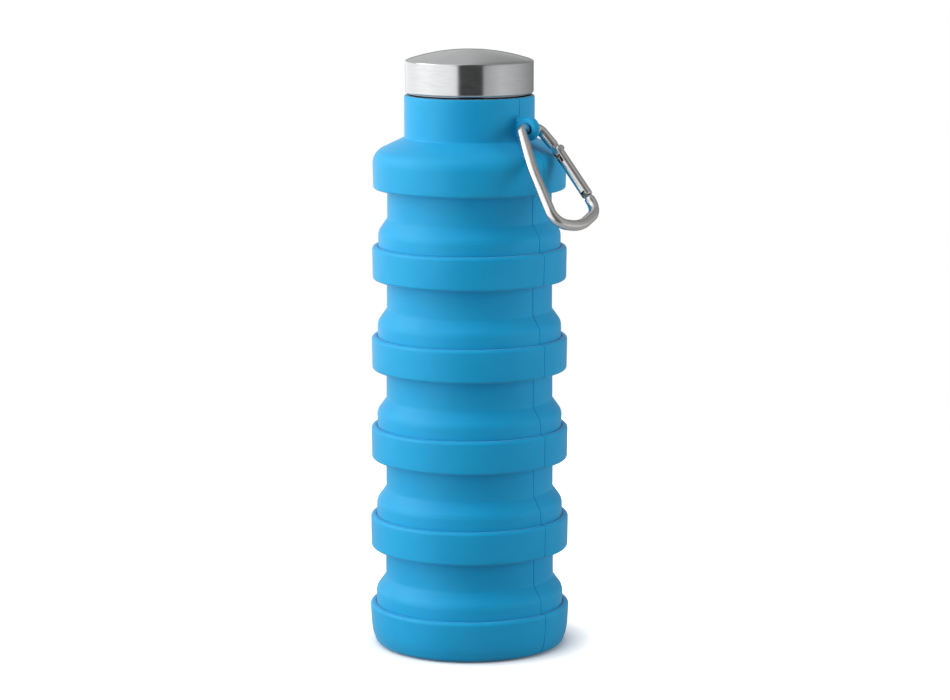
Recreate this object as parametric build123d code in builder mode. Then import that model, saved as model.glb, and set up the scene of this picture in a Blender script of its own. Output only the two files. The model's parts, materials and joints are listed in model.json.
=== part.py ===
from build123d import *
import math
import os

os.makedirs("parts", exist_ok=True)

# A silicone water bottle that folds down to half its height, with a steel screw cap and a
# small carabiner on a lug at its neck. Millimetres, +Z up, origin at the centre of the foot.
# The lug and the mould's parting plane lie in the XZ plane, with the lug at +X.
# The folds are numbered from the top: fold 1 is under the shoulder, fold 5 is in the base.

# Folding body
fold_count = 5
fold_pitch = 32.8  # from one band's lip to the next, drawn out
folded_pitch = 12.2
fold_travel = fold_pitch - folded_pitch
base_lip_z = 15.3
base_radius = 36.3
band_radius_step = 0.3
band_height = 11.75
band_wall = 2.1
band_draft = 0.15
lip_round = 1.4
band_foot_round = 1.1
web_thickness = 1.1  # floor of a band, between its wall and the waist below it
skin = 1.4  # wall of the waists and domes
base_waist_radius = 30.6
waist_radius_step = 0.25
crease_height = 10.05  # top of a dome above its band's lip
groove_depth = 1.0  # where a dome dives behind its lip
land_depth = 3.5  # lowest point of the dome's bond to the band wall
crease_gap = 0.3

# Base
foot_radius = 31.7
foot_round = 3.2
foot_ring_inner_radius = 26.5
foot_recess = 1.2
base_pad_radius = 8.0  # round pad at the middle of the underside, level with the foot ring
base_floor_z = 4.2
base_side_point = (base_radius - 0.35, 8.4)  # where the side turns from leaning to upright
base_side_lean = 0.1  # of the side where it leaves the foot's round
base_cove = 2.2  # bevel between the floor and the wall inside

# Shoulder and neck
shoulder_round = 6.0
shoulder_round_z = 176.3
shoulder_arc_end = 66.0  # degrees above the horizontal
shoulder_wall = 2.0
collar_radius = 23.4
collar_foot_z = 186.0
collar_top_z = 200.8
collar_round = 0.8
slope_top = (24.5, 185.3)
ring_radius = 21.2
mouth_radius = 18.0
ring_foot_z = 182.4
ring_hook_radius = 22.4
ring_hook_height = 1.2
ring_hook_lead = 0.05  # slope of the hook's upper face
spigot_radius = 19.4
spigot_top_z = 209.8

# Thread, right-handed, one start
thread_pitch = 4.0
thread_depth = 1.0
thread_root_half = 0.85
thread_crest_half = 0.45
thread_bury = 0.25  # how far a ridge is sunk into its wall
male_thread_z = 202.2
male_thread_turns = 1.5
female_thread_z = male_thread_z + thread_pitch / 2
female_thread_turns = 1.0

# Cap
cap_radius = 23.0
cap_foot_z = 201.5
cap_edge_z = 213.2
cap_apex_z = 216.8
cap_shell_wall = 0.5
cap_edge_round = 0.5
liner_gap = 0.05
liner_root_radius = 20.75
liner_ceiling = 1.6
seal_top_z = 211.6
seal_inner_radius = 17.8
seal_outer_radius = 20.4

# Lug
lug_hole = (28.0, 190.0)  # x and z of the hole's axis
lug_hole_radius = 3.0
lug_eye_radius = 4.8
lug_thickness = 3.0
lug_bottom_z = 186.1
lug_top_z = 194.3

# Carabiner: a wire loop in a plane that leans away from the bottle and is turned a little
# to the lug's axis. Its outline is in that plane, x across and y away from the lug.
loop_lean = math.radians(41.0)
loop_turn = math.radians(4.0)
wire_radius = 1.8
hinge_point = (7.2, 10.6)
loop_corners = [(5.0, 0.6), (-4.4, -1.2), (-10.5, 16.8), (-15.3, 38.7), (-4.6, 41.9), (7.9, 37.5)]
loop_rounds = [2.8, 3.0, 40.0, 4.8, 12.0, 5.2]
nose_point = (7.9, 31.0)
hinge_setback = 2.5  # from the pivot to the end of the round wire
tongue_half = 0.8
tongue_radius = 1.7
gate_radius = 2.0
gate_length = 19.8
gate_slot_half = 1.0
gate_hinge_slot = 2.6
gate_nose_slot = 5.0
gate_bore_radius = 1.05
gate_bore_depth = 12.0
pivot_radius = 0.75
pivot_hole_radius = 0.85
pivot_head_radius = 1.1
pivot_head_height = 0.4
pivot_head_gap = 0.05
latch_distance = 18.2  # from the pivot along the gate
latch_radius = 0.6
latch_inset = 0.1  # of the pin's ends from the gate's surface
latch_notch_half = 0.9
latch_notch_bottom = 0.9
nose_hook_length = 4.6
plunger_radius = 0.95
plunger_start = 2.1
plunger_length = 2.9
spring_radius = 0.75
spring_wire_radius = 0.15
spring_pitch = 0.75
spring_gap = 0.05


def lip_z(fold):
    return base_lip_z + (fold_count - fold) * fold_pitch


def band_radius(fold):
    return base_radius - (fold_count - fold) * band_radius_step


def waist_radius(fold):
    return base_waist_radius - (fold_count - fold) * waist_radius_step


def save(piece, name):
    piece.part.label = name
    export_step(piece.part, f"parts/{name}.step")


def arc_point(center, radius, degrees):
    angle = math.radians(degrees)
    return (center[0] + radius * math.cos(angle), center[1] + radius * math.sin(angle))


# ---- Bands 1 to 4: a wall with a rounded lip, and a thin floor that the next waist hangs from
for fold in range(1, fold_count):
    lip = lip_z(fold)
    foot = lip - band_height
    outer = band_radius(fold)
    inner = outer - band_wall
    waist_bore = waist_radius(fold + 1) - skin
    foot_outer = outer - band_draft

    with BuildPart() as band:
        with BuildSketch(Plane.XZ):
            with BuildLine():
                Polyline((waist_bore, foot), (foot_outer - band_foot_round, foot))
                RadiusArc(
                    (foot_outer - band_foot_round, foot),
                    (foot_outer, foot + band_foot_round),
                    -band_foot_round,
                )
                Line((foot_outer, foot + band_foot_round), (outer, lip - lip_round))
                RadiusArc((outer, lip - lip_round), (outer - lip_round, lip), -lip_round)
                Polyline(
                    (outer - lip_round, lip),
                    (inner, lip),
                    (inner, foot + web_thickness),
                    (waist_bore, foot + web_thickness),
                    (waist_bore, foot),
                )
            make_face()
        revolve(axis=Axis.Z)
    save(band, f"band_{fold}")


# ---- Waists 1 to 5: the sleeve under each upper band, which slides down inside the band below
for fold in range(1, fold_count + 1):
    outer = waist_radius(fold)
    crease = lip_z(fold) + crease_height + crease_gap
    top = lip_z(fold - 1) - band_height

    with BuildPart() as waist:
        with BuildSketch(Plane.XY.offset(crease)):
            Circle(outer)
            Circle(outer - skin, mode=Mode.SUBTRACT)
        extrude(amount=top - crease)
    save(waist, f"waist_{fold}")


# ---- Domes 1 to 5: the rolling part of each fold, bonded behind its band's lip
for fold in range(1, fold_count + 1):
    base_z = lip_z(fold) - groove_depth
    top_z = lip_z(fold) + crease_height
    land_z = lip_z(fold) - land_depth
    outer = band_radius(fold) - band_wall
    flare = outer - waist_radius(fold)
    rise = top_z - base_z
    curve = (flare**2 + rise**2) / (2 * flare)
    inner_curve = curve - skin
    inner_top = outer - curve + math.sqrt(inner_curve**2 - rise**2)

    with BuildPart() as dome:
        with BuildSketch(Plane.XZ):
            with BuildLine():
                RadiusArc((outer, base_z), (waist_radius(fold), top_z), -curve)
                Line((waist_radius(fold), top_z), (inner_top, top_z))
                RadiusArc((inner_top, top_z), (outer - skin, base_z), inner_curve)
                Polyline(
                    (outer - skin, base_z),
                    (outer - skin, land_z),
                    (outer, land_z),
                    (outer, base_z),
                )
            make_face()
        revolve(axis=Axis.Z)
    save(dome, f"dome_{fold}")


# ---- Base cup: the lowest band, closed by a floor and standing on a foot ring
base_outer_foot = foot_radius + foot_round
base_inner = base_radius - band_wall
with BuildPart() as base_cup:
    with BuildSketch(Plane.XZ):
        with BuildLine():
            Polyline(
                (0, 0),
                (base_pad_radius, 0),
                (base_pad_radius + foot_recess, foot_recess),
                (foot_ring_inner_radius - foot_recess, foot_recess),
                (foot_ring_inner_radius, 0),
                (foot_radius, 0),
            )
            RadiusArc((foot_radius, 0), (base_outer_foot, foot_round), -foot_round)
            Spline(
                (base_outer_foot, foot_round),
                base_side_point,
                (base_radius, base_lip_z - lip_round),
                tangents=((base_side_lean, 1), (0, 1)),
            )
            RadiusArc(
                (base_radius, base_lip_z - lip_round),
                (base_radius - lip_round, base_lip_z),
                -lip_round,
            )
            Polyline(
                (base_radius - lip_round, base_lip_z),
                (base_inner, base_lip_z),
                (base_inner, base_floor_z + base_cove),
                (base_inner - base_cove, base_floor_z),
                (0, base_floor_z),
                (0, 0),
            )
        make_face()
    revolve(axis=Axis.Z)
save(base_cup, "base_cup")


# ---- Shoulder: the top band, its slope and the collar round the neck ring
shoulder_radius = band_radius(0)
shoulder_foot_z = lip_z(0) - band_height
shoulder_foot_radius = shoulder_radius - band_draft
shoulder_bore = waist_radius(1) - skin
arc_center = (shoulder_radius - shoulder_round, shoulder_round_z)
outer_arc_end = arc_point(arc_center, shoulder_round, shoulder_arc_end)
outer_arc_mid = arc_point(arc_center, shoulder_round, shoulder_arc_end / 2)
inner_round = shoulder_round - shoulder_wall
inner_arc_end = arc_point(arc_center, inner_round, shoulder_arc_end)
inner_arc_mid = arc_point(arc_center, inner_round, shoulder_arc_end / 2)
slope = (slope_top[1] - outer_arc_end[1]) / (slope_top[0] - outer_arc_end[0])
neck_corner_z = inner_arc_end[1] + slope * (ring_radius - inner_arc_end[0])
with BuildPart() as shoulder:
    with BuildSketch(Plane.XZ):
        with BuildLine():
            Line(
                (shoulder_bore, shoulder_foot_z),
                (shoulder_foot_radius - band_foot_round, shoulder_foot_z),
            )
            RadiusArc(
                (shoulder_foot_radius - band_foot_round, shoulder_foot_z),
                (shoulder_foot_radius, shoulder_foot_z + band_foot_round),
                -band_foot_round,
            )
            Line(
                (shoulder_foot_radius, shoulder_foot_z + band_foot_round),
                (shoulder_radius, shoulder_round_z),
            )
            ThreePointArc((shoulder_radius, shoulder_round_z), outer_arc_mid, outer_arc_end)
            Polyline(
                outer_arc_end,
                slope_top,
                (collar_radius, collar_foot_z),
                (collar_radius, collar_top_z - collar_round),
            )
            RadiusArc(
                (collar_radius, collar_top_z - collar_round),
                (collar_radius - collar_round, collar_top_z),
                -collar_round,
            )
            Polyline(
                (collar_radius - collar_round, collar_top_z),
                (ring_radius, collar_top_z),
                (ring_radius, neck_corner_z),
                inner_arc_end,
            )
            ThreePointArc(
                inner_arc_end, inner_arc_mid, (shoulder_radius - shoulder_wall, shoulder_round_z)
            )
            Polyline(
                (shoulder_radius - shoulder_wall, shoulder_round_z),
                (shoulder_radius - shoulder_wall, shoulder_foot_z + web_thickness),
                (shoulder_bore, shoulder_foot_z + web_thickness),
                (shoulder_bore, shoulder_foot_z),
            )
        make_face()
    revolve(axis=Axis.Z)
save(shoulder, "shoulder")


# ---- Neck lug: a plate in the parting plane with an eye for the carabiner
lug_height = lug_top_z - lug_bottom_z
lug_middle_z = (lug_top_z + lug_bottom_z) / 2
with BuildPart() as neck_lug:
    with BuildSketch(Plane.XZ):
        with Locations((lug_hole[0] / 2, lug_middle_z)):
            Rectangle(lug_hole[0], lug_height)
        with Locations(lug_hole):
            Circle(lug_eye_radius)
    extrude(amount=lug_thickness / 2, both=True)
    with BuildSketch(Plane.XZ):
        with Locations(lug_hole):
            Circle(lug_hole_radius)
    extrude(amount=lug_thickness, both=True, mode=Mode.SUBTRACT)
    with BuildSketch(Plane.XY.offset(lug_bottom_z - lug_height)):
        Circle(collar_radius)
    extrude(amount=3 * lug_height, mode=Mode.SUBTRACT)
save(neck_lug, "neck_lug")


def thread_section(path, bury, crest):
    """Ridge section across the start of a helix: bury and crest are measured outwards."""
    section_plane = Plane(origin=path @ 0, x_dir=(1, 0, 0), z_dir=path % 0)
    with BuildSketch(section_plane, mode=Mode.PRIVATE) as section:
        with BuildLine():
            Polyline(
                (bury, -thread_root_half),
                (crest, -thread_crest_half),
                (crest, thread_crest_half),
                (bury, thread_root_half),
                close=True,
            )
        make_face()
    return section.sketch


# ---- Neck ring: a rigid sleeve in the collar, hooked under the neck, with the threaded spigot
hook_top_z = ring_foot_z + ring_hook_height
male_path = Helix(
    thread_pitch, thread_pitch * male_thread_turns, spigot_radius, (0, 0, male_thread_z)
)
male_section = thread_section(male_path, -thread_bury, thread_depth)
with BuildPart() as neck_ring:
    with BuildSketch(Plane.XZ):
        with BuildLine():
            Polyline(
                (mouth_radius, ring_foot_z),
                (ring_hook_radius, ring_foot_z),
                (ring_hook_radius, hook_top_z),
                (ring_radius, hook_top_z + ring_hook_lead),
                (ring_radius, collar_top_z),
                (spigot_radius, collar_top_z),
                (spigot_radius, spigot_top_z),
                (mouth_radius, spigot_top_z),
                close=True,
            )
        make_face()
    revolve(axis=Axis.Z)
    sweep(male_section, path=male_path, is_frenet=True)
save(neck_ring, "neck_ring")


# ---- Cap: a thin domed steel shell over a threaded liner, with a seal under the ceiling
dome_radius = (cap_radius**2 + (cap_apex_z - cap_edge_z) ** 2) / (2 * (cap_apex_z - cap_edge_z))
dome_center_z = cap_apex_z - dome_radius


def dome_height(radius, at):
    return dome_center_z + math.sqrt(radius**2 - at**2)


shell_bore = cap_radius - cap_shell_wall
shell_inner_dome = dome_radius - cap_shell_wall
with BuildPart() as cap_shell:
    with BuildSketch(Plane.XZ):
        with BuildLine():
            Polyline((shell_bore, cap_foot_z), (cap_radius, cap_foot_z), (cap_radius, cap_edge_z))
            RadiusArc((cap_radius, cap_edge_z), (0, cap_apex_z), -dome_radius)
            Line((0, cap_apex_z), (0, cap_apex_z - cap_shell_wall))
            RadiusArc(
                (0, cap_apex_z - cap_shell_wall),
                (shell_bore, dome_height(shell_inner_dome, shell_bore)),
                shell_inner_dome,
            )
            Line((shell_bore, dome_height(shell_inner_dome, shell_bore)), (shell_bore, cap_foot_z))
        make_face()
    revolve(axis=Axis.Z)
    outer_rims = cap_shell.edges().filter_by(lambda edge: edge.is_closed).group_by(SortBy.LENGTH)[-1]
    fillet(outer_rims.sort_by(Axis.Z)[-1], radius=cap_edge_round)
save(cap_shell, "cap_shell")

liner_radius = shell_bore - liner_gap
liner_top_dome = shell_inner_dome - liner_gap
liner_ceiling_dome = liner_top_dome - liner_ceiling
ceiling_edge_z = dome_height(liner_ceiling_dome, seal_inner_radius)
female_path = Helix(
    thread_pitch, thread_pitch * female_thread_turns, liner_root_radius, (0, 0, female_thread_z)
)
female_section = thread_section(female_path, thread_bury, -thread_depth)
with BuildPart() as cap_liner:
    with BuildSketch(Plane.XZ):
        with BuildLine():
            Polyline(
                (0, cap_apex_z - cap_shell_wall - liner_gap - liner_ceiling),
                (0, cap_apex_z - cap_shell_wall - liner_gap),
            )
            RadiusArc(
                (0, cap_apex_z - cap_shell_wall - liner_gap),
                (liner_radius, dome_height(liner_top_dome, liner_radius)),
                liner_top_dome,
            )
            Polyline(
                (liner_radius, dome_height(liner_top_dome, liner_radius)),
                (liner_radius, cap_foot_z),
                (liner_root_radius, cap_foot_z),
                (liner_root_radius, seal_top_z),
                (seal_inner_radius, seal_top_z),
                (seal_inner_radius, ceiling_edge_z),
            )
            RadiusArc(
                (seal_inner_radius, ceiling_edge_z),
                (0, cap_apex_z - cap_shell_wall - liner_gap - liner_ceiling),
                -liner_ceiling_dome,
            )
        make_face()
    revolve(axis=Axis.Z)
    sweep(female_section, path=female_path, is_frenet=True)
save(cap_liner, "cap_liner")

with BuildPart() as cap_seal:
    with BuildSketch(Plane.XY.offset(spigot_top_z)):
        Circle(seal_outer_radius)
        Circle(seal_inner_radius, mode=Mode.SUBTRACT)
    extrude(amount=seal_top_z - spigot_top_z)
save(cap_seal, "cap_seal")


# ---- Carabiner frame: round wire with a flat tongue at each end
lean_down = Vector(math.sin(loop_lean), 0, -math.cos(loop_lean))
lean_normal = Vector(math.cos(loop_lean), 0, math.sin(loop_lean))
loop_across = Vector(0, math.cos(loop_turn), 0) + lean_normal * math.sin(loop_turn)
loop_plane = Plane(
    origin=(lug_hole[0], 0, lug_hole[1]), x_dir=loop_across, z_dir=loop_across.cross(lean_down)
)
pivot = Vector(*hinge_point)
hinge_run = (pivot - Vector(*loop_corners[0])).normalized()
wire_start = pivot - hinge_run * hinge_setback
gate_run = (Vector(*nose_point) - pivot).normalized()
latch = pivot + gate_run * latch_distance
hook_end = Vector(*nose_point) - gate_run * nose_hook_length
hinge_tongue = hinge_setback + wire_radius
nose_tongue = nose_hook_length + wire_radius
notch_depth = wire_radius + latch_notch_bottom
hinge_angle = math.degrees(math.atan2(hinge_run.Y, hinge_run.X))
gate_angle = math.degrees(math.atan2(gate_run.Y, gate_run.X))

with BuildLine(loop_plane) as loop_path:
    FilletPolyline(
        (wire_start.X, wire_start.Y), *loop_corners, nose_point, radius=loop_rounds
    )
loop_wire = loop_path.wires()[0]
with BuildPart() as carabiner_frame:
    with BuildSketch(Plane(origin=loop_wire @ 0, z_dir=loop_wire % 0)):
        Circle(wire_radius)
    sweep(path=loop_wire)
    with BuildSketch(loop_plane):
        with Locations((pivot.X, pivot.Y)):
            Circle(tongue_radius)
        middle = pivot - hinge_run * (hinge_tongue / 2)
        with Locations(Location((middle.X, middle.Y), hinge_angle)):
            Rectangle(hinge_tongue, 2 * tongue_radius)
        middle = hook_end + gate_run * (nose_tongue / 2)
        with Locations(Location((middle.X, middle.Y), gate_angle)):
            Rectangle(nose_tongue, 2 * tongue_radius)
    extrude(amount=tongue_half, both=True)
    with BuildSketch(loop_plane):
        with Locations((pivot.X, pivot.Y)):
            Circle(pivot_radius)
        notch = latch - Vector(notch_depth - latch_notch_bottom, 0)
        with Locations(Location((notch.X, notch.Y), gate_angle)):
            Rectangle(2 * latch_notch_half, 2 * notch_depth)
    extrude(amount=2 * tongue_half, both=True, mode=Mode.SUBTRACT)
save(carabiner_frame, "carabiner_frame")


# ---- Gate: a slotted tube that straddles both tongues, with its pins, spring and plunger
def loop_point(point):
    return loop_plane.from_local_coords(Vector(point.X, point.Y, 0))


gate_direction = loop_point(pivot + gate_run) - loop_point(pivot)


def gate_plane(distance):
    return Plane(
        origin=loop_point(pivot + gate_run * distance), x_dir=loop_plane.z_dir, z_dir=gate_direction
    )


def pin_plane(point, height):
    return Plane(
        origin=loop_point(point) + loop_plane.z_dir * height,
        x_dir=loop_plane.x_dir,
        z_dir=loop_plane.z_dir,
    )


nose_slot_start = gate_length - gate_nose_slot
with BuildPart() as carabiner_gate:
    with BuildSketch(gate_plane(0)):
        Circle(gate_radius)
    extrude(amount=gate_length)
    with Locations(gate_plane(0)):
        Sphere(gate_radius)
    with BuildSketch(gate_plane(-2 * gate_radius)):
        Rectangle(2 * gate_slot_half, 4 * gate_radius)
    extrude(amount=2 * gate_radius + gate_hinge_slot, mode=Mode.SUBTRACT)
    with BuildSketch(gate_plane(nose_slot_start)):
        Rectangle(2 * gate_slot_half, 4 * gate_radius)
    extrude(amount=2 * gate_nose_slot, mode=Mode.SUBTRACT)
    with BuildSketch(gate_plane(gate_hinge_slot / 2)):
        Circle(gate_bore_radius)
    extrude(amount=gate_bore_depth - gate_hinge_slot / 2, mode=Mode.SUBTRACT)
    with BuildSketch(pin_plane(pivot, -2 * gate_radius)):
        Circle(pivot_hole_radius)
    extrude(amount=4 * gate_radius, mode=Mode.SUBTRACT)
    with BuildSketch(pin_plane(latch, -2 * gate_radius)):
        Circle(latch_radius)
    extrude(amount=4 * gate_radius, mode=Mode.SUBTRACT)
save(carabiner_gate, "carabiner_gate")

head_z = gate_radius + pivot_head_gap
with BuildPart() as gate_pivot_pin:
    with BuildSketch(pin_plane(pivot, -head_z)):
        Circle(pivot_radius)
    extrude(amount=2 * head_z)
    for side in (-head_z - pivot_head_height, head_z):
        with BuildSketch(pin_plane(pivot, side)):
            Circle(pivot_head_radius)
        extrude(amount=pivot_head_height)
save(gate_pivot_pin, "gate_pivot_pin")

latch_half = gate_radius - latch_inset
with BuildPart() as gate_latch_pin:
    with BuildSketch(pin_plane(latch, -latch_half)):
        Circle(latch_radius)
    extrude(amount=2 * latch_half)
save(gate_latch_pin, "gate_latch_pin")

with BuildPart() as gate_plunger:
    with BuildSketch(gate_plane(plunger_start)):
        Circle(plunger_radius)
    extrude(amount=plunger_length)
    tip = gate_plunger.faces().sort_by(Axis(loop_point(pivot), gate_direction))[0]
    chamfer(tip.edges(), length=plunger_radius / 3)
save(gate_plunger, "gate_plunger")

spring_start = plunger_start + plunger_length + spring_gap + spring_wire_radius
spring_length = gate_bore_depth - spring_gap - spring_wire_radius - spring_start
spring_path = Helix(
    spring_pitch, spring_length, spring_radius, loop_point(pivot + gate_run * spring_start),
    gate_direction,
)
with BuildPart() as gate_spring:
    with BuildSketch(Plane(origin=spring_path @ 0, z_dir=spring_path % 0)):
        Circle(spring_wire_radius)
    sweep(path=spring_path, is_frenet=True)
save(gate_spring, "gate_spring")
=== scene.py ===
import bmesh
import bpy
import json
import math
from mathutils import Matrix, Vector


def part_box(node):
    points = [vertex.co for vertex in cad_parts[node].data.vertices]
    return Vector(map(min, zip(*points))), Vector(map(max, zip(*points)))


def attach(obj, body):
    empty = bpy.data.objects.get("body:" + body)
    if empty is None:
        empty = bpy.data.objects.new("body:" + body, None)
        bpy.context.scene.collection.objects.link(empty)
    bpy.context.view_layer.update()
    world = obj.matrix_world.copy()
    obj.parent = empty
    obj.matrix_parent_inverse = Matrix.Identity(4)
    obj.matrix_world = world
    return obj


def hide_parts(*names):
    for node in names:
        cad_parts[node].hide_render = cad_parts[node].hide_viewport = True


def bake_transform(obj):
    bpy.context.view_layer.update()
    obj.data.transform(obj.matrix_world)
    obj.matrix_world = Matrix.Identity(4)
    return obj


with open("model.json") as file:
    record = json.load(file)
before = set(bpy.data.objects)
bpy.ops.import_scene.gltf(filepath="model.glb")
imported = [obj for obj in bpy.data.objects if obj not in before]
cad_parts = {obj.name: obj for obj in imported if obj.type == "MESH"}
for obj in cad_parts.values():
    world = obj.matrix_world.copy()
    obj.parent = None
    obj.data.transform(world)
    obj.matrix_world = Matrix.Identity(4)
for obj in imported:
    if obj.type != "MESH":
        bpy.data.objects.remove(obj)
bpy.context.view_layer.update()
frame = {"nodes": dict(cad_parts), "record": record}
nodes = frame["nodes"]
mm = 0.001
scene = bpy.context.scene
print("frame loaded:", len(nodes), "nodes")


def link(obj):
    scene.collection.objects.link(obj)
    return obj


def meshObject(name, verts, edges=(), faces=()):
    mesh = bpy.data.meshes.new(name)
    mesh.from_pydata(verts, edges, faces)
    mesh.update()
    return link(bpy.data.objects.new(name, mesh))


# points of an arc, both ends included
def arc(cx, cz, radius, startDegrees, endDegrees, steps):
    points = []
    for i in range(steps + 1):
        a = math.radians(startDegrees + (endDegrees - startDegrees) * i / steps)
        points.append((cx + radius * math.cos(a), cz + radius * math.sin(a)))
    return points


# points between a and b, neither end included
def run(a, b, steps):
    return [(a[0] + (b[0] - a[0]) * i / steps, a[1] + (b[1] - a[1]) * i / steps) for i in range(1, steps)]


def outerRadius(node):
    low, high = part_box(node)
    return (high.y - low.y) / 2


# camera
camera = {
    "azimuth": 41.0,
    "elevation": 9.44,
    "distance": 1.150,
    "aimHeight": 0.1081,
    "sideways": 0.0020,  # the bottle stands a little left of the middle
    "lens": 120.15,
}
azimuth = math.radians(camera["azimuth"])
elevation = math.radians(camera["elevation"])
towardsCamera = Vector((
    math.sin(azimuth) * math.cos(elevation),
    -math.cos(azimuth) * math.cos(elevation),
    math.sin(elevation),
))
cameraRight = Vector((math.cos(azimuth), math.sin(azimuth), 0))
cameraData = bpy.data.cameras.new("camera")
cameraData.lens = camera["lens"]
cameraData.sensor_width = 36
cameraData.clip_start = 0.05
cameraObject = link(bpy.data.objects.new("camera", cameraData))
cameraObject.location = (
    Vector((0, 0, camera["aimHeight"])) + towardsCamera * camera["distance"]
    + cameraRight * camera["sideways"]
)
cameraObject.rotation_mode = "QUATERNION"
cameraObject.rotation_quaternion = (-towardsCamera).to_track_quat("-Z", "Y")
scene.camera = cameraObject
print("camera placed")


def addNode(tree, kind, inputs=None, **settings):
    node = tree.nodes.new(kind)
    for key, value in settings.items():
        setattr(node, key, value)
    for key, value in (inputs or {}).items():
        if isinstance(value, bpy.types.NodeSocket):
            tree.links.new(value, node.inputs[key])
        else:
            node.inputs[key].default_value = value
    return node


def newMaterial(name, **principled):
    material = bpy.data.materials.new(name)
    material.use_nodes = True
    shader = material.node_tree.nodes["Principled BSDF"]
    for key, value in principled.items():
        shader.inputs[key].default_value = value
    return material, material.node_tree, shader


def maths(tree, operation, a, b=None):
    inputs = {0: a}
    if b is not None:
        inputs[1] = b
    return addNode(tree, "ShaderNodeMath", inputs, operation=operation).outputs[0]


# materials
silicone = {
    "colour": (0.003, 0.30, 0.575),
    "colourHigh": (0.006, 0.32, 0.605),
    "roughness": 0.52,
    "specular": 0.40,
    "specularTint": (0.75, 0.93, 1.0, 1),
    "sheen": 0.30,
    "sheenRoughness": 0.30,
    "sheenTint": (1.0, 0.92, 0.80, 1),
    "grainScale": 2600.0,
    "grainHeight": 0.00001,
}
steel = {
    "dark": (0.57, 0.58, 0.585),
    "light": (0.67, 0.68, 0.685),
    "roughness": 0.20,
    "strokeLength": 5 * mm,
    "strokeWidth": 0.4 * mm,
    "strokeDepth": 0.004 * mm,
}


def siliconeMaterial():
    material, tree, shader = newMaterial("blueSilicone", **{
        "Roughness": silicone["roughness"],
        "Specular IOR Level": silicone["specular"],
        "Specular Tint": silicone["specularTint"],
        "Sheen Weight": silicone["sheen"],
        "Sheen Roughness": silicone["sheenRoughness"],
        "Sheen Tint": silicone["sheenTint"],
    })
    where = addNode(tree, "ShaderNodeTexCoord").outputs["Object"]
    cloud = addNode(tree, "ShaderNodeTexNoise", {"Vector": where, "Scale": 45.0, "Detail": 3.0})
    ramp = addNode(tree, "ShaderNodeValToRGB", {"Fac": cloud.outputs["Fac"]})
    ramp.color_ramp.elements[0].position = 0.35
    ramp.color_ramp.elements[0].color = (*silicone["colour"], 1)
    ramp.color_ramp.elements[1].position = 0.65
    ramp.color_ramp.elements[1].color = (*silicone["colourHigh"], 1)
    tree.links.new(ramp.outputs["Color"], shader.inputs["Base Color"])
    grain = addNode(tree, "ShaderNodeTexNoise", {
        "Vector": where, "Scale": silicone["grainScale"], "Detail": 2.0,
    })
    bump = addNode(tree, "ShaderNodeBump", {
        "Height": grain.outputs["Fac"], "Strength": 0.25, "Distance": silicone["grainHeight"],
    })
    tree.links.new(bump.outputs["Normal"], shader.inputs["Normal"])
    return material


def brushedSteelMaterial():
    material, tree, shader = newMaterial("brushedSteel", **{
        "Metallic": 1.0,
        "Anisotropic": 0.85,
        "Anisotropic Rotation": 0.25,
    })
    tangent = addNode(tree, "ShaderNodeTangent", direction_type="RADIAL", axis="Z")
    tree.links.new(tangent.outputs["Tangent"], shader.inputs["Tangent"])
    where = addNode(tree, "ShaderNodeTexCoord").outputs["Object"]
    axes = addNode(tree, "ShaderNodeSeparateXYZ", {"Vector": where}).outputs
    fromAxis = addNode(tree, "ShaderNodeVectorMath", {
        0: where, 1: (1, 1, 0),
    }, operation="MULTIPLY").outputs["Vector"]
    radius = addNode(tree, "ShaderNodeVectorMath", {0: fromAxis}, operation="LENGTH").outputs["Value"]
    along = maths(tree, "SUBTRACT", axes["Z"], radius)
    brush = addNode(tree, "ShaderNodeCombineXYZ", {
        "X": maths(tree, "MULTIPLY", axes["X"], 1 / steel["strokeLength"]),
        "Y": maths(tree, "MULTIPLY", axes["Y"], 1 / steel["strokeLength"]),
        "Z": maths(tree, "MULTIPLY", along, 1 / steel["strokeWidth"]),
    }).outputs["Vector"]
    strokes = addNode(tree, "ShaderNodeTexNoise", {
        "Vector": brush, "Scale": 1.0, "Detail": 4.0, "Roughness": 0.7,
    }).outputs["Fac"]
    ramp = addNode(tree, "ShaderNodeValToRGB", {"Fac": strokes})
    ramp.color_ramp.elements[0].position = 0.25
    ramp.color_ramp.elements[0].color = (*steel["dark"], 1)
    ramp.color_ramp.elements[1].position = 0.75
    ramp.color_ramp.elements[1].color = (*steel["light"], 1)
    tree.links.new(ramp.outputs["Color"], shader.inputs["Base Color"])
    rough = addNode(tree, "ShaderNodeMapRange", {
        "Value": strokes, "From Min": 0.25, "From Max": 0.75,
        "To Min": steel["roughness"] - 0.04, "To Max": steel["roughness"] + 0.04,
    })
    tree.links.new(rough.outputs["Result"], shader.inputs["Roughness"])
    bump = addNode(tree, "ShaderNodeBump", {
        "Height": strokes, "Strength": 0.35, "Distance": steel["strokeDepth"],
    })
    tree.links.new(bump.outputs["Normal"], shader.inputs["Normal"])
    return material


def plainMaterial(name, colour, roughness, metallic=0.0, grain=1800.0, height=0.00001):
    material, tree, shader = newMaterial(name, **{
        "Metallic": metallic, "Roughness": roughness,
    })
    where = addNode(tree, "ShaderNodeTexCoord").outputs["Object"]
    noise = addNode(tree, "ShaderNodeTexNoise", {"Vector": where, "Scale": grain, "Detail": 3.0})
    ramp = addNode(tree, "ShaderNodeValToRGB", {"Fac": noise.outputs["Fac"]})
    ramp.color_ramp.elements[0].color = (*[c * 0.9 for c in colour], 1)
    ramp.color_ramp.elements[1].color = (*colour, 1)
    tree.links.new(ramp.outputs["Color"], shader.inputs["Base Color"])
    bump = addNode(tree, "ShaderNodeBump", {
        "Height": noise.outputs["Fac"], "Strength": 0.2, "Distance": height,
    })
    tree.links.new(bump.outputs["Normal"], shader.inputs["Normal"])
    return material


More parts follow.
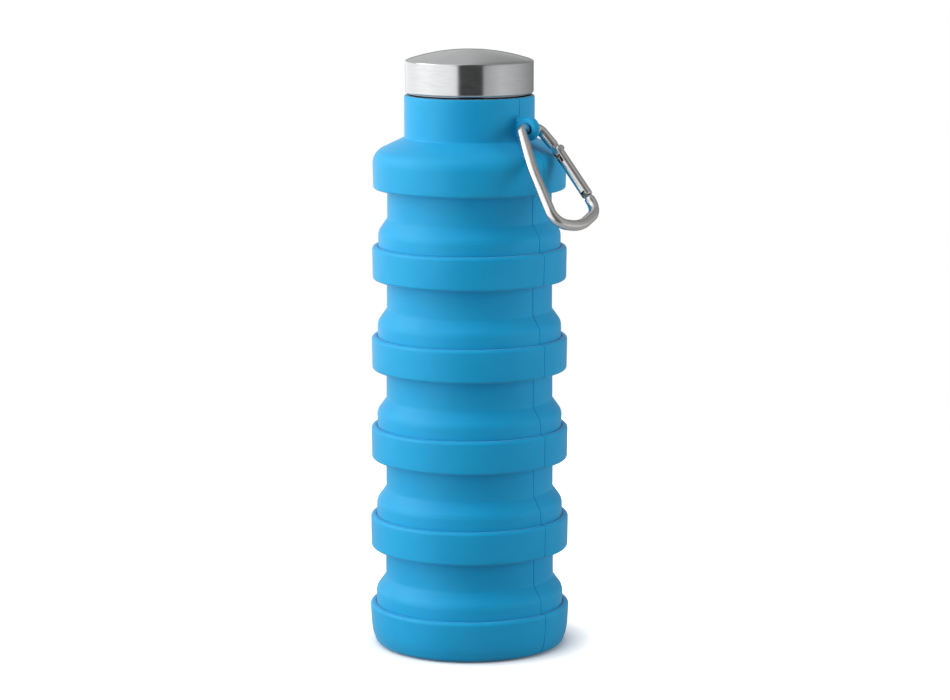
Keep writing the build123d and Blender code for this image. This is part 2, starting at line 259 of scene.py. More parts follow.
blueSilicone = siliconeMaterial()
brushedSteel = brushedSteelMaterial()
polishedSteel = plainMaterial("polishedSteel", (0.80, 0.785, 0.775), 0.27, 1.0, 900.0, 0.000006)
springSteel = plainMaterial("springSteel", (0.06, 0.06, 0.065), 0.40, 1.0)
# painted shade: the neck ring is made near black so the gap under the cap reads as a dark line; that dark
# stands in for the shade in the gap
ringPlasticGapShade = plainMaterial("ringPlasticGapShade", (0.035, 0.036, 0.040), 0.45)
linerPlastic = plainMaterial("linerPlastic", (0.04, 0.04, 0.045), 0.45)
sealRubber = plainMaterial("sealRubber", (0.80, 0.81, 0.80), 0.55)
print("materials made")


# turned pieces: a profile carried round the axis, with the mould's parting flash if it has one
turning = {
    "segments": 288,
    "crowding": 0.45,  # how much the steps crowd together at the parting line
    "flashHeight": 0.22 * mm,
    "flashWidth": 0.20 * mm,
    "pathRadius": 1.0 * mm,
}


def turningTree():
    tree = bpy.data.node_groups.new("turnedPiece", "GeometryNodeTree")
    tree.is_modifier = True
    face = tree.interface
    face.new_socket("Profile", in_out="INPUT", socket_type="NodeSocketGeometry")
    for name, kind in (
        ("Segments", "NodeSocketInt"), ("Crowding", "NodeSocketFloat"),
        ("Path Radius", "NodeSocketFloat"), ("Flash Height", "NodeSocketFloat"),
        ("Flash Width", "NodeSocketFloat"), ("Material", "NodeSocketMaterial"),
    ):
        face.new_socket(name, in_out="INPUT", socket_type=kind)
    face.new_socket("Piece", in_out="OUTPUT", socket_type="NodeSocketGeometry")
    given = tree.nodes.new("NodeGroupInput").outputs
    made = tree.nodes.new("NodeGroupOutput")

    def calc(*terms):
        return maths(tree, *terms)

    profile = addNode(tree, "GeometryNodeMeshToCurve", {"Mesh": given["Profile"]}).outputs["Curve"]
    circle = addNode(tree, "GeometryNodeCurvePrimitiveCircle", {
        "Resolution": given["Segments"], "Radius": given["Path Radius"],
    }).outputs["Curve"]
    index = tree.nodes.new("GeometryNodeInputIndex").outputs["Index"]
    angle = calc("MULTIPLY", calc("DIVIDE", index, given["Segments"]), 2 * math.pi)
    wave = calc("SINE", calc("MULTIPLY", angle, 2.0))
    warped = calc("SUBTRACT", angle, calc("MULTIPLY", wave, given["Crowding"]))
    ring = addNode(tree, "ShaderNodeCombineXYZ", {
        "X": calc("MULTIPLY", calc("COSINE", warped), given["Path Radius"]),
        "Y": calc("MULTIPLY", calc("SINE", warped), given["Path Radius"]),
    }).outputs["Vector"]
    path = addNode(tree, "GeometryNodeSetPosition", {"Geometry": circle, "Position": ring})
    upright = addNode(tree, "GeometryNodeSetCurveNormal", {"Curve": path.outputs[0]}, mode="Z_UP")
    swept = addNode(tree, "GeometryNodeCurveToMesh", {
        "Curve": upright.outputs["Curve"], "Profile Curve": profile,
    }).outputs["Mesh"]
    closed = addNode(tree, "GeometryNodeMergeByDistance", {"Geometry": swept, "Distance": 0.002 * mm})

    position = tree.nodes.new("GeometryNodeInputPosition").outputs["Position"]
    normal = tree.nodes.new("GeometryNodeInputNormal").outputs["Normal"]
    wander = addNode(tree, "ShaderNodeTexNoise", {
        "Vector": position, "Scale": 160.0, "Detail": 1.0,
    }).outputs["Fac"]
    side = addNode(tree, "ShaderNodeSeparateXYZ", {"Vector": position}).outputs["Y"]
    shifted = calc("ADD", side, calc("MULTIPLY", calc("SUBTRACT", wander, 0.5), 0.5 * mm))
    share = calc("DIVIDE", shifted, given["Flash Width"])
    bell = calc("EXPONENT", calc("MULTIPLY", calc("MULTIPLY", share, share), -1.0))
    lift = calc("MULTIPLY", bell, given["Flash Height"])
    offset = addNode(tree, "ShaderNodeVectorMath", {0: normal, "Scale": lift}, operation="SCALE")
    flashed = addNode(tree, "GeometryNodeSetPosition", {
        "Geometry": closed.outputs["Geometry"], "Offset": offset.outputs["Vector"],
    })
    smooth = addNode(tree, "GeometryNodeSetShadeSmooth", {"Geometry": flashed.outputs[0]})
    whole = addNode(tree, "GeometryNodeRealizeInstances", {"Geometry": smooth.outputs[0]})
    painted = addNode(tree, "GeometryNodeSetMaterial", {
        "Geometry": whole.outputs[0], "Material": given["Material"],
    })
    tree.links.new(painted.outputs[0], made.inputs["Piece"])
    return tree


turnedTree = turningTree()


def socketId(tree, name):
    for item in tree.interface.items_tree:
        if item.item_type == "SOCKET" and item.in_out == "INPUT" and item.name == name:
            return item.identifier


# the evaluated result of obj as a plain mesh object
def baked(obj, name, material):
    graph = bpy.context.evaluated_depsgraph_get()
    mesh = bpy.data.meshes.new_from_object(obj.evaluated_get(graph))
    bpy.data.objects.remove(obj)
    mesh.name = name
    mesh.materials.clear()
    mesh.materials.append(material)
    return link(bpy.data.objects.new(name, mesh))


def outwards(obj):
    shape = bmesh.new()
    shape.from_mesh(obj.data)
    bmesh.ops.recalc_face_normals(shape, faces=shape.faces)
    shape.to_mesh(obj.data)
    shape.free()
    obj.data.update()


# revolves a profile of (radius, height) points, in metres
def turned(name, profile, material, flash=True, closedProfile=True):
    pathRadius = turning["pathRadius"]
    verts = [(r - pathRadius, -z, 0) for r, z in profile]
    edges = [(i, i + 1) for i in range(len(verts) - 1)]
    if closedProfile:
        edges.append((len(verts) - 1, 0))
    obj = meshObject(name + "Profile", verts, edges)
    modifier = obj.modifiers.new("turn", "NODES")
    modifier.node_group = turnedTree
    values = {
        "Segments": turning["segments"], "Crowding": turning["crowding"] if flash else 0.0,
        "Path Radius": pathRadius, "Flash Height": turning["flashHeight"] if flash else 0.0,
        "Flash Width": turning["flashWidth"], "Material": material,
    }
    for key, value in values.items():
        modifier[socketId(turnedTree, key)] = value
    piece = baked(obj, name, material)
    outwards(piece)
    return piece


# silicone body
body = {
    "wall": 2.1 * mm,
    "lipRound": 1.25 * mm,
    "footRound": 0.9 * mm,
    "footDrop": 0.25 * mm,
    "draft": 0.15 * mm,
    "groove": 2.6 * mm,  # depth of the dark groove behind a lip
    "skin": 1.4 * mm,
    "coneTop": 10.0 * mm,  # heights above the lip
    "coneFoot": 4.9 * mm,
    "domeRound": 5.0 * mm,
    "tuck": 0.12 * mm,
}
bodies = frame["record"]["behaviour"]["bodies"]
bodyOf = {node: name for name, members in bodies.items() for node in members}


# closed section of a band: wall, rounded lip, rounded foot and the floor above the waist
def bandProfile(low, high, radius, bore):
    wall, lip, foot = body["wall"], body["lipRound"], body["footRound"]
    footRadius = radius - body["draft"]
    innerLip = 0.45 * mm
    inner = radius - wall
    points = [(bore, low)]
    points += arc(footRadius - foot, low - body["footDrop"] + foot, foot, -90, 0, 8)
    points += run(points[-1], (radius, high - lip), 5)
    points += arc(radius - lip, high - lip, lip, 0, 90, 9)
    points += arc(inner + innerLip, high - innerLip, innerLip, 90, 180, 4)
    points += [(inner, low + body["groove"]), (bore, low + body["groove"] * 0.42)]
    return points


for k in range(1, 5):
    low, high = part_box(f"band_{k}")
    bore = outerRadius(f"waist_{k + 1}") - 1.2 * mm
    profile = bandProfile(low.z, high.z, outerRadius(f"band_{k}"), bore)
    band = turned(f"siliconeBand{k}", profile, blueSilicone)
    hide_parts(f"band_{k}")
    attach(band, bodyOf[f"band_{k}"])
print("bands turned")


# closed section of a fold: the waist, the cone of the dome and its upright foot
def skinProfile(lip, top, waistRadius, domeRadius):
    skin = body["skin"]
    coneTop = (waistRadius, lip + body["coneTop"])
    coneFoot = (domeRadius, lip + body["coneFoot"])
    slant = math.atan2(domeRadius - waistRadius, coneTop[1] - coneFoot[1] + 1.2 * mm)
    big = body["domeRound"]
    centre = (domeRadius - big, coneFoot[1] - big * math.tan(slant / 2))
    outer = [(domeRadius, lip - body["groove"])]
    outer += run(outer[-1], (domeRadius, centre[1]), 6)
    outer += arc(centre[0], centre[1], big, 0, math.degrees(slant), 8)
    crease = 1.4 * mm
    lead = crease * math.tan(slant / 2)
    before = (coneTop[0] + lead * math.sin(slant), coneTop[1] - lead * math.cos(slant))
    outer += run(outer[-1], before, 8)
    outer += arc(coneTop[0] + crease, coneTop[1] + lead, crease, 180 + math.degrees(slant), 180, 6)
    outer += run(outer[-1], (waistRadius, top - 0.9 * mm), 8)
    outer += arc(waistRadius + 0.9 * mm, top - 0.9 * mm, 0.9 * mm, 180, 110, 5)
    outer += [(waistRadius + 0.9 * mm, top + 0.25 * mm)]
    inner = [(r - skin, z) for r, z in reversed(outer) if z < top - 1.0 * mm]
    return outer + [(waistRadius - skin, top + 0.25 * mm)] + inner


for k in range(1, 6):
    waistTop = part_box(f"waist_{k}")[1].z
    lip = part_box(f"band_{k}" if k < 5 else "base_cup")[1].z
    domeRadius = outerRadius(f"dome_{k}") - body["tuck"]
    profile = skinProfile(lip, waistTop, outerRadius(f"waist_{k}"), domeRadius)
    skin = turned(f"foldSkin{k}", profile, blueSilicone)
    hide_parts(f"dome_{k}", f"waist_{k}")
    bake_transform(skin)
print("fold skins turned")


base = {
    "footRadius": 31.7 * mm,
    "footRound": 3.2 * mm,
    "ringInner": 26.5 * mm,
    "recess": 1.2 * mm,
    "pad": 8.0 * mm,
    "floor": 4.2 * mm,
}


def baseProfile():
    low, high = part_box("base_cup")
    radius = outerRadius("base_cup")
    inner = radius - body["wall"]
    foot, turn, recess, lip = base["footRadius"], base["footRound"], base["recess"], body["lipRound"]
    points = [(0, 0)]
    points += run((0, 0), (base["pad"], 0), 6) + [(base["pad"], 0)]
    points += arc(base["pad"] + recess, 0, recess, 180, 90, 4)[1:]
    points += run(points[-1], (base["ringInner"] - recess, recess), 8)
    points += arc(base["ringInner"] - recess, 0, recess, 90, 0, 4)
    points += run(points[-1], (foot, 0), 3)
    points += arc(foot, turn, turn, -90, -8, 9)
    side = points[-1]
    knee = (radius - 0.30 * mm, high.z * 0.56)
    for i in range(1, 9):  # the side leans out, then straightens
        t = i / 8
        points.append((
            side[0] * (1 - t) ** 2 + 2 * (knee[0] - 0.28 * mm) * t * (1 - t) + knee[0] * t * t,
            side[1] * (1 - t) ** 2 + 2 * (knee[1] * 0.52) * t * (1 - t) + knee[1] * t * t,
        ))
    points += run(points[-1], (radius, high.z - lip), 4)
    points += arc(radius - lip, high.z - lip, lip, 0, 90, 9)
    points += arc(inner + 0.45 * mm, high.z - 0.45 * mm, 0.45 * mm, 90, 180, 4)
    points += [(inner, base["floor"] + 2 * mm)]
    points += arc(inner - 2 * mm, base["floor"] + 2 * mm, 2 * mm, 0, -90, 5)[1:]
    points += run(points[-1], (0, base["floor"]), 10) + [(0, base["floor"])]
    return points


basePiece = turned("siliconeBase", baseProfile(), blueSilicone, closedProfile=False)
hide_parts("base_cup")
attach(basePiece, "base")
print("base turned")


shoulder = {
    "round": 6.0 * mm,
    "roundHeight": 176.3 * mm,
    "arcEnd": 66.0,
    "slopeTop": (24.35 * mm, 185.15 * mm),
    "neckFillet": 0.6 * mm,
    "collarRound": 0.7 * mm,
    "wall": 2.0 * mm,
}


def shoulderProfile():
    low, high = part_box("shoulder")
    radius = outerRadius("shoulder")
    collar = outerRadius("cap_shell") + 0.4 * mm
    bore = outerRadius("waist_1") - 1.2 * mm
    inner = outerRadius("neck_ring") - 1.2 * mm
    foot = body["footRound"]
    footRadius = radius - body["draft"]
    big, wall = shoulder["round"], shoulder["wall"]
    centre = (radius - big, shoulder["roundHeight"])
    points = [(bore, low.z)]
    points += arc(footRadius - foot, low.z - body["footDrop"] + foot, foot, -90, 0, 8)
    points += run(points[-1], (radius, centre[1]), 5)
    points += arc(centre[0], centre[1], big, 0, shoulder["arcEnd"], 14)
    points += run(points[-1], shoulder["slopeTop"], 6)
    fillet, slope = shoulder["neckFillet"], shoulder["slopeTop"]
    points += [slope]
    points += arc(collar + fillet, slope[1] + 0.75 * mm, fillet, 242, 180, 6)[1:]
    rim = shoulder["collarRound"]
    points += run(points[-1], (collar, high.z - rim), 8)
    points += arc(collar - rim, high.z - rim, rim, 0, 90, 5)
    points += [(inner, high.z), (inner, slope[1] - 0.6 * mm)]
    points += arc(centre[0], centre[1], big - wall, shoulder["arcEnd"], 0, 8)
    points += [(radius - wall, low.z + 1.1 * mm), (bore, low.z + 1.1 * mm)]
    return points


shoulderPiece = turned("siliconeShoulder", shoulderProfile(), blueSilicone)
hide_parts("shoulder")
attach(shoulderPiece, "neck")
print("shoulder turned")


# cap
cap = {
    "shellWall": 0.5 * mm,
    "edgeRound": 0.45 * mm,
    "edgeHeight": 213.2 * mm,
    "crown": 0.3 * mm,  # how far the dome stands above the plain one
    "hem": 0.9 * mm,
}


def capProfile():
    low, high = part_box("cap_shell")
    radius = outerRadius("cap_shell")
    edge, turn, wall = cap["edgeHeight"], cap["edgeRound"], cap["shellWall"]
    apex = high.z + cap["crown"]
    rise = apex - edge
    ball = (radius ** 2 + rise ** 2) / (2 * rise)
    centreHeight = apex - ball
    points = arc(radius - cap["hem"], low.z + cap["hem"], cap["hem"], -60, 0, 6)
    points += run(points[-1], (radius, edge - turn), 6)
    leanDegrees = math.degrees(math.asin((radius - turn) / ball))
    points += arc(radius - turn, edge - turn, turn, 0, 90 - leanDegrees, 6)
    steps = 28
    for i in range(1, steps + 1):
        a = math.asin((radius - turn) / ball) * (1 - i / steps)
        points.append((ball * math.sin(a), centreHeight + ball * math.cos(a)))
    points[-1] = (0, apex)
    points += [(0, apex - wall)]
    for i in range(1, 13):
        a = math.asin((radius - wall) / (ball - wall)) * i / 12
        points.append(((ball - wall) * math.sin(a), centreHeight + (ball - wall) * math.cos(a)))
    points += [(radius - wall, low.z)]
    return points


capPiece = turned("steelCap", capProfile(), brushedSteel, flash=False, closedProfile=False)
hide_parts("cap_shell")
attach(capPiece, "cap")
print("cap turned")

# lug: a plate with an eye, rounded all round its rim, in the parting plane
joints = {joint["name"]: joint for joint in frame["record"]["behaviour"]["joints"]}
lug = {
    "eyeX": 27.9 * mm,
    "eyeZ": 190.2 * mm,
    "eyeRadius": 4.25 * mm,
    "holeRadius": 2.05 * mm,
    "rimRound": 1.0 * mm,
    "holeRound": 0.5 * mm,
    "rootX": 22.3 * mm,  # buried in the collar
    "half": 1.5 * mm,
    "flare": 0.15 * mm,
    "seam": 0.12 * mm,
    "grooveDepth": 0.22 * mm,
    "steps": 128,
}


def lugPiece():
    half = lug["half"]
    hole = Vector(joints["carabiner_swing"]["pos_m"])
    section = []  # (share from the hole to the rim, distance inwards from that edge, y)
    holeRound, rimRound = lug["holeRound"], lug["rimRound"]
    for x, y in arc(0, 0, holeRound, 180, 90, 5):
        section.append((0, holeRound + x, half - holeRound + y))
    for share in (0.25, 0.38):
        section.append((share, 0, half))
    for x, y in arc(0, 0, rimRound, 90, 0, 8):
        section.append((1, x - rimRound, half - rimRound + y))
    section.append((1, 0, 0.62 * mm))
    section.append((1, -lug["grooveDepth"], 0.50 * mm))
    section.append((1, lug["seam"], 0.36 * mm))
    upper = [(share, inset, y) for share, inset, y in section]
    middle = [(1, lug["seam"], 0.0)]
    lower = [(share, inset, -y) for share, inset, y in reversed(section)]
    ring = upper + middle + lower
    collar = outerRadius("cap_shell") + 0.4 * mm
    verts, faces = [], []
    for i in range(lug["steps"]):
        a = 2 * math.pi * i / lug["steps"]
        out = Vector((math.cos(a), 0, math.sin(a)))
        # how far the rim is from the hole in this direction
        dx, dz = hole.x - lug["eyeX"], hole.z - lug["eyeZ"]
        along = dx * out.x + dz * out.z
        reach = -along + math.sqrt(along ** 2 - dx ** 2 - dz ** 2 + lug["eyeRadius"] ** 2)
        if out.x < 0:  # towards the neck the plate runs straight on at its full height
            rise = lug["eyeZ"] + math.copysign(lug["eyeRadius"], out.z) - hole.z
            straight = rise / out.z if abs(out.z) > 1e-6 else 1.0
            root = (lug["rootX"] - hole.x) / out.x
            level = min(straight, root)
            if hole.x + out.x * reach < lug["eyeX"]:
                reach = level
        inner = lug["holeRadius"]
        buried = hole.x + out.x * reach < lug["rootX"] + 0.2 * mm
        for share, inset, y in ring:
            if buried and share == 1:
                inset = 0
            r = inner + (reach - inner) * share + inset
            point = hole + out * r
            near = max(0.0, 1 - (point.x - collar) / (1.4 * mm))
            y += math.copysign(lug["flare"] * near ** 3, y) if y else 0
            verts.append((point.x, y, point.z))
    count = len(ring)
    for i in range(lug["steps"]):
        for j in range(count):
            a, b = i * count, (i + 1) % lug["steps"] * count
            k = (j + 1) % count
            faces.append((a + j, a + k, b + k, b + j))
    obj = meshObject("siliconeLug", verts, (), faces)
    obj.data.materials.append(blueSilicone)
    obj.data.polygons.foreach_set("use_smooth", [True] * len(obj.data.polygons))
    outwards(obj)
    return obj


lugObject = lugPiece()
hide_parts("neck_lug")
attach(lugObject, "neck")
print("lug made")


# carabiner: wire loop and gate, drawn in the loop's own plane
carabiner = {
    "lean": 41.0,
    "turn": 4.0,
    "wire": 1.9 * mm,
    "corners": [(4.9, 0.2), (-3.9, -0.75), (-10.3, 16.6), (-15.2, 38.6), (-4.6, 41.9), (7.55, 37.2)],
    "rounds": [2.8, 2.5, 40.0, 5.6, 13.0, 6.6],
    "nose": (7.75, 31.4),
    "hingeSetback": 2.3,
    "tongueHalf": 0.8 * mm,
    "tongueRadius": 1.7 * mm,
    "noseTongue": 1.3 * mm,
    "gateRadius": 2.0 * mm,
    "gateLength": 19.8 * mm,
    "hingeSlot": 4.7 * mm,
    "noseSlot": 1.8 * mm,
    "slotHalf": 1.15 * mm,
    "bore": 1.4175 * mm,
}
loopOrigin = Vector(joints["carabiner_swing"]["pos_m"])
gatePivot = Vector(joints["gate_swing"]["pos_m"])
lean, turn = math.radians(carabiner["lean"]), math.radians(carabiner["turn"])
loopDown = Vector((math.sin(lean), 0, -math.cos(lean)))
loopAcross = (
    Vector((0, math.cos(turn), 0)) + Vector((math.cos(lean), 0, math.sin(lean))) * math.sin(turn)
)
loopNormal = loopAcross.cross(loopDown)
pivotX = (gatePivot - loopOrigin).dot(loopAcross)
pivotY = (gatePivot - loopOrigin).dot(loopDown)


def loopPoint(x, y, h=0.0):
    return loopOrigin + loopAcross * x + loopDown * y + loopNormal * h


# a line through points with an arc of the given radius at each inner point
def roundedPath(points, rounds, steps=9):
    path = [points[0]]
    for before, corner, after, radius in zip(points, points[1:], points[2:], rounds):
        back, ahead = (before - corner).normalized(), (after - corner).normalized()
        half = back.angle(ahead) / 2
        bisector = (back + ahead).normalized()
        centre = corner + bisector * (radius / math.sin(half))
        start = corner + back * (radius / math.tan(half))
        finish = corner + ahead * (radius / math.tan(half))
        sweep = start - centre
        angle = sweep.angle_signed(finish - centre)
        count = max(steps, int(abs(angle) * radius / 0.0004))
        for i in range(count + 1):
            path.append(centre + Matrix.Rotation(-angle * i / count, 2) @ sweep)
    path.append(points[-1])
    return path


# a round bar along path, with softly rounded ends
def tubeMesh(shape, path, radius, sides=40, endRound=0.35 * mm):
    stations = [(path[0], radius - endRound)]
    first = (path[1] - path[0]).normalized()
    last = (path[-1] - path[-2]).normalized()
    stations.append((path[0] + first * endRound * 0.3, radius - endRound * 0.3))
    stations.append((path[0] + first * endRound, radius))
    stations += [(point, radius) for point in path[1:-1]]
    stations.append((path[-1] - last * endRound, radius))
    stations.append((path[-1] - last * endRound * 0.3, radius - endRound * 0.3))
    stations.append((path[-1], radius - endRound))
    rings = []
    for i, (point, size) in enumerate(stations):
        before = stations[max(i - 1, 0)][0]
        after = stations[min(i + 1, len(stations) - 1)][0]
        tangent = (after - before).normalized()
        side = tangent.cross(loopNormal).normalized()
        ring = []
        for j in range(sides):
            a = 2 * math.pi * j / sides
            out = side * math.cos(a) + loopNormal * math.sin(a)
            ring.append(shape.verts.new(point + out * size))
        rings.append(ring)
    for a, b in zip(rings, rings[1:]):
        for j in range(sides):
            shape.faces.new((a[j], a[(j + 1) % sides], b[(j + 1) % sides], b[j]))
    shape.faces.new(rings[0])
    shape.faces.new(reversed(rings[-1]))


# a flat plate with the given outline, in the loop's plane
def plateMesh(shape, outline, half):
    top = [shape.verts.new(loopPoint(p.x, p.y, half)) for p in outline]
    bottom = [shape.verts.new(loopPoint(p.x, p.y, -half)) for p in outline]
    shape.faces.new(top)
    shape.faces.new(reversed(bottom))
    for i in range(len(outline)):
        k = (i + 1) % len(outline)
        shape.faces.new((top[i], bottom[i], bottom[k], top[k]))


def finished(shape, name, material, sharp=35):
    bmesh.ops.recalc_face_normals(shape, faces=shape.faces)
    mesh = bpy.data.meshes.new(name)
    shape.to_mesh(mesh)
    shape.free()
    mesh.materials.append(material)
    mesh.polygons.foreach_set("use_smooth", [True] * len(mesh.polygons))
    mesh.set_sharp_from_angle(angle=math.radians(sharp))
    return link(bpy.data.objects.new(name, mesh))


# outline from a to b, round about b
def stadium(a, b, radius, steps=14):
    along = (b - a).normalized()
    across = Vector((-along.y, along.x))
    outline = [a - across * radius]
    for i in range(steps + 1):
        turn = math.pi * i / steps
        outline.append(b + along * radius * math.sin(turn) - across * radius * math.cos(turn))
    outline.append(a + across * radius)
    return outline


pivot = Vector((pivotX, pivotY))
nose = Vector(carabiner["nose"]) * mm
corners = [Vector(corner) * mm for corner in carabiner["corners"]]
hingeRun = (pivot - corners[0]).normalized()
wireStart = pivot - hingeRun * carabiner["hingeSetback"] * mm
gateRun = (loopPoint(7.9 * mm, 31.0 * mm) - gatePivot).normalized()
gateFlat = Vector((gateRun.dot(loopAcross), gateRun.dot(loopDown)))

shape = bmesh.new()
flatPath = roundedPath([wireStart, *corners, nose], [r * mm for r in carabiner["rounds"]])
tubeMesh(shape, [loopPoint(p.x, p.y) for p in flatPath], carabiner["wire"])
tongueRadius, tongueHalf = carabiner["tongueRadius"], carabiner["tongueHalf"]
plateMesh(shape, stadium(wireStart - hingeRun * mm, pivot, tongueRadius), tongueHalf)
noseReach = carabiner["gateLength"] - carabiner["noseTongue"] + tongueRadius
noseTip = pivot + gateFlat * noseReach
plateMesh(shape, stadium(nose, noseTip, tongueRadius * 0.8), tongueHalf)
wirePiece = finished(shape, "carabinerWire", polishedSteel)
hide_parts("carabiner_frame")
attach(wirePiece, "carabiner")


# a place on the gate, measured from its pivot
def gatePoint(along, across, height):
    side = gateRun.cross(loopNormal)
    return gatePivot + gateRun * along + side * across + loopNormal * height


def cutter(name, low, high):
    shape = bmesh.new()
    bmesh.ops.create_cube(shape, size=1)
    for vert in shape.verts:
        place = [a + (b - a) * (c + 0.5) for a, b, c in zip(low, high, vert.co)]
        vert.co = gatePoint(*place)
    bmesh.ops.recalc_face_normals(shape, faces=shape.faces)
    mesh = bpy.data.meshes.new(name)
    shape.to_mesh(mesh)
    shape.free()
    return link(bpy.data.objects.new(name, mesh))


def gatePiece():
    outer, bore, length = carabiner["gateRadius"], carabiner["bore"], carabiner["gateLength"]
    profile = [(0, -outer)] + arc(0, 0, outer, -90, 0, 12)[1:]
    profile += run(profile[-1], (outer, length), 8)
    profile += [(outer, length - 0.25 * mm), (outer - 0.2 * mm, length)]
    profile += [(bore, length), (bore, 2.2 * mm), (0, 2.2 * mm)]
    sides = 56
    shape = bmesh.new()
    rings = []
    for r, along in profile:
        ring = []
        for j in range(sides if r else 1):
            a = 2 * math.pi * j / sides
            ring.append(shape.verts.new(gatePoint(along, r * math.cos(a), r * math.sin(a))))
        rings.append(ring)
    for a, b in zip(rings, rings[1:]):
        for j in range(sides):
            k = (j + 1) % sides
            corners = [a[j % len(a)], a[k % len(a)], b[k % len(b)], b[j % len(b)]]
            shape.faces.new(list(dict.fromkeys(corners)))
    body = finished(shape, "gateBody", polishedSteel)
    far, half = 3 * outer, carabiner["slotHalf"]
    cutters = [
        cutter("hingeSlot", (-far, -far, -half), (carabiner["hingeSlot"], far, half)),
        cutter("noseSlot", (length - carabiner["noseSlot"], -far, -half), (length + far, 0, half)),
    ]
    for tool in cutters:
        cut = body.modifiers.new(tool.name, "BOOLEAN")
        cut.operation = "DIFFERENCE"
        cut.solver = "EXACT"
        cut.object = tool
    piece = baked(body, "carabinerGate", polishedSteel)
    for tool in cutters:
        bpy.data.objects.remove(tool)
    piece.data.polygons.foreach_set("use_smooth", [True] * len(piece.data.polygons))
    piece.data.set_sharp_from_angle(angle=math.radians(35))
    return piece


gateObject = gatePiece()
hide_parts("carabiner_gate")
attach(gateObject, "gate")
print("carabiner made")

for node, material in {
    "neck_ring": ringPlasticGapShade, "cap_liner": linerPlastic, "cap_seal": sealRubber,
    "gate_pivot_pin": polishedSteel, "gate_latch_pin": polishedSteel,
    "gate_spring": springSteel, "gate_plunger": springSteel,
}.items():
    nodes[node].data.materials.clear()
    nodes[node].data.materials.append(material)
print("carried-over nodes painted")


# studio
studio = {
    "floorRadius": 0.45,
    "floorColour": 0.90,
    "floorBounce": 0.40,  # what the floor gives back to the bottle
    "floorGlow": (0.05, 0.60),  # painted light: the floor glows for the camera, faintly close under the bottle and strongly away from it, washing out the bottle's shadow there
    "glowReach": (34 * mm, 47 * mm),
    "lightStrength": 1.5,
}


# light around the bottle, as (degrees to the right of the camera, brightness)
levelLight = [
    (-180, 0.15), (-172, 0.20), (-165, 1.20), (-92, 1.38), (-60, 1.30), (-23, 1.20), (-18, 0.05),
    (23, 0.05), (27, 0.56), (60, 0.76), (90, 0.62), (130, 0.40), (165, 0.24), (172, 0.10), (180, 0.12),
]
upperLight = [
    (-180, 0.60), (-120, 0.75), (-75, 1.30), (-35, 1.15), (-16, 0.12), (26, 0.12),
    (50, 0.46), (90, 0.44), (130, 0.26), (168, 0.30), (180, 0.60),
]


def studioWorld():
    world = bpy.data.worlds.new("studio")
    scene.world = world
    world.use_nodes = True
    tree = world.node_tree
    background = tree.nodes["Background"]
    direction = addNode(tree, "ShaderNodeTexCoord").outputs["Generated"]

    def dot(axis):
        terms = {0: direction, 1: axis}
        node = addNode(tree, "ShaderNodeVectorMath", terms, operation="DOT_PRODUCT")
        return node.outputs["Value"]

    ahead = Vector((towardsCamera.x, towardsCamera.y, 0)).normalized()
    around = maths(tree, "ARCTAN2", dot(cameraRight), dot(ahead))
    turn = maths(tree, "ADD", maths(tree, "DIVIDE", around, 2 * math.pi), 0.5)

    def ramp(stops):
        node = addNode(tree, "ShaderNodeValToRGB", {"Fac": turn})
        elements = node.color_ramp.elements
        while len(elements) < len(stops):
            elements.new(0.5)
        for element, (degrees, level) in zip(elements, stops):
            element.position = degrees / 360 + 0.5
            level /= studio["lightStrength"]
            element.color = (level, level, level, 1)
        return node.outputs["Color"]

    height = addNode(tree, "ShaderNodeMapRange", {
        "Value": dot(Vector((0, 0, 1))), "From Min": 0.03, "From Max": 0.16,
    }, interpolation_type="SMOOTHSTEP").outputs["Result"]
    light = addNode(tree, "ShaderNodeMix", {
        0: height, 6: ramp(levelLight), 7: ramp(upperLight),
    }, data_type="RGBA").outputs[2]
    tree.links.new(light, background.inputs["Color"])
    background.inputs["Strength"].default_value = studio["lightStrength"]
    white = addNode(tree, "ShaderNodeBackground", {"Color": (1, 1, 1, 1)})
    seen = addNode(tree, "ShaderNodeLightPath").outputs["Is Camera Ray"]
    shown = addNode(tree, "ShaderNodeMixShader", {
        0: seen, 1: background.outputs[0], 2: white.outputs[0],
    })
    tree.links.new(shown.outputs[0], tree.nodes["World Output"].inputs["Surface"])


studioWorld()


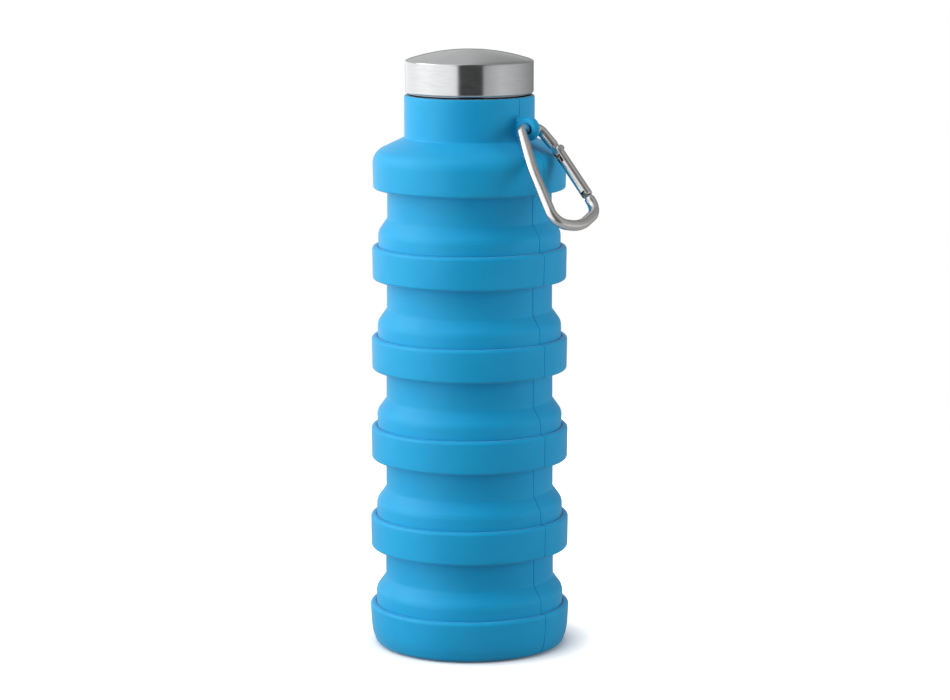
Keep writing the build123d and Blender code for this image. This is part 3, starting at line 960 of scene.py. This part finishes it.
def softbox(name, azimuthDegrees, elevationDegrees, distance, size, power):
    data = bpy.data.lights.new(name, "AREA")
    data.shape = "RECTANGLE"
    data.size, data.size_y = size
    data.energy = power
    obj = link(bpy.data.objects.new(name, data))
    a, e = azimuth + math.radians(azimuthDegrees), math.radians(elevationDegrees)
    out = Vector((math.sin(a) * math.cos(e), -math.cos(a) * math.cos(e), math.sin(e)))
    obj.location = Vector((0, 0, 0.11)) + out * distance
    obj.rotation_mode = "QUATERNION"
    obj.rotation_quaternion = (-out).to_track_quat("-Z", "Y")
    return obj


softbox("leftSoftbox", -95, 34, 1.2, (0.8, 0.7), 5.0)
fills = [
    softbox("upperFill", -15, 66, 1.3, (0.7, 0.7), 4.5),
    softbox("leftFill", -66, 6, 1.2, (0.6, 0.6), 5.8),
    softbox("rightFill", 84, 8, 1.2, (0.7, 0.6), 6.5),
]
for fill in fills:
    fill.visible_glossy = False  # they light the silicone and stay out of the steel

floorVerts, floorSteps = [], 96
for i in range(floorSteps):
    a = 2 * math.pi * i / floorSteps
    floorVerts.append((studio["floorRadius"] * math.cos(a), studio["floorRadius"] * math.sin(a), 0))
floor = meshObject("floor", floorVerts, (), [tuple(range(floorSteps))])
paper, paperTree, paperShader = newMaterial("paleFloor", **{
    "Roughness": 0.8, "Emission Color": (1, 1, 1, 1),
})
seenFloor = addNode(paperTree, "ShaderNodeLightPath").outputs["Is Camera Ray"]
away = addNode(paperTree, "ShaderNodeVectorMath", {
    "Vector": addNode(paperTree, "ShaderNodeTexCoord").outputs["Object"],
}, operation="LENGTH").outputs["Value"]
# painted light: the glow grows with distance from the bottle, so only the contact shadow stays and the
# rest of the bottle's shadow is washed out
spread = addNode(paperTree, "ShaderNodeMapRange", {
    "Value": away,
    "From Min": studio["glowReach"][0], "From Max": studio["glowReach"][1],
    "To Min": studio["floorGlow"][0], "To Max": studio["floorGlow"][1],
})
glow = maths(paperTree, "MULTIPLY", seenFloor, spread.outputs["Result"])
shade = maths(paperTree, "MULTIPLY", seenFloor, studio["floorColour"] - studio["floorBounce"])
shade = maths(paperTree, "ADD", shade, studio["floorBounce"])
paperTree.links.new(shade, paperShader.inputs["Base Color"])
paperTree.links.new(glow, paperShader.inputs["Emission Strength"])
floor.data.materials.append(paper)
scene.view_settings.view_transform = "Standard"
print("studio set")
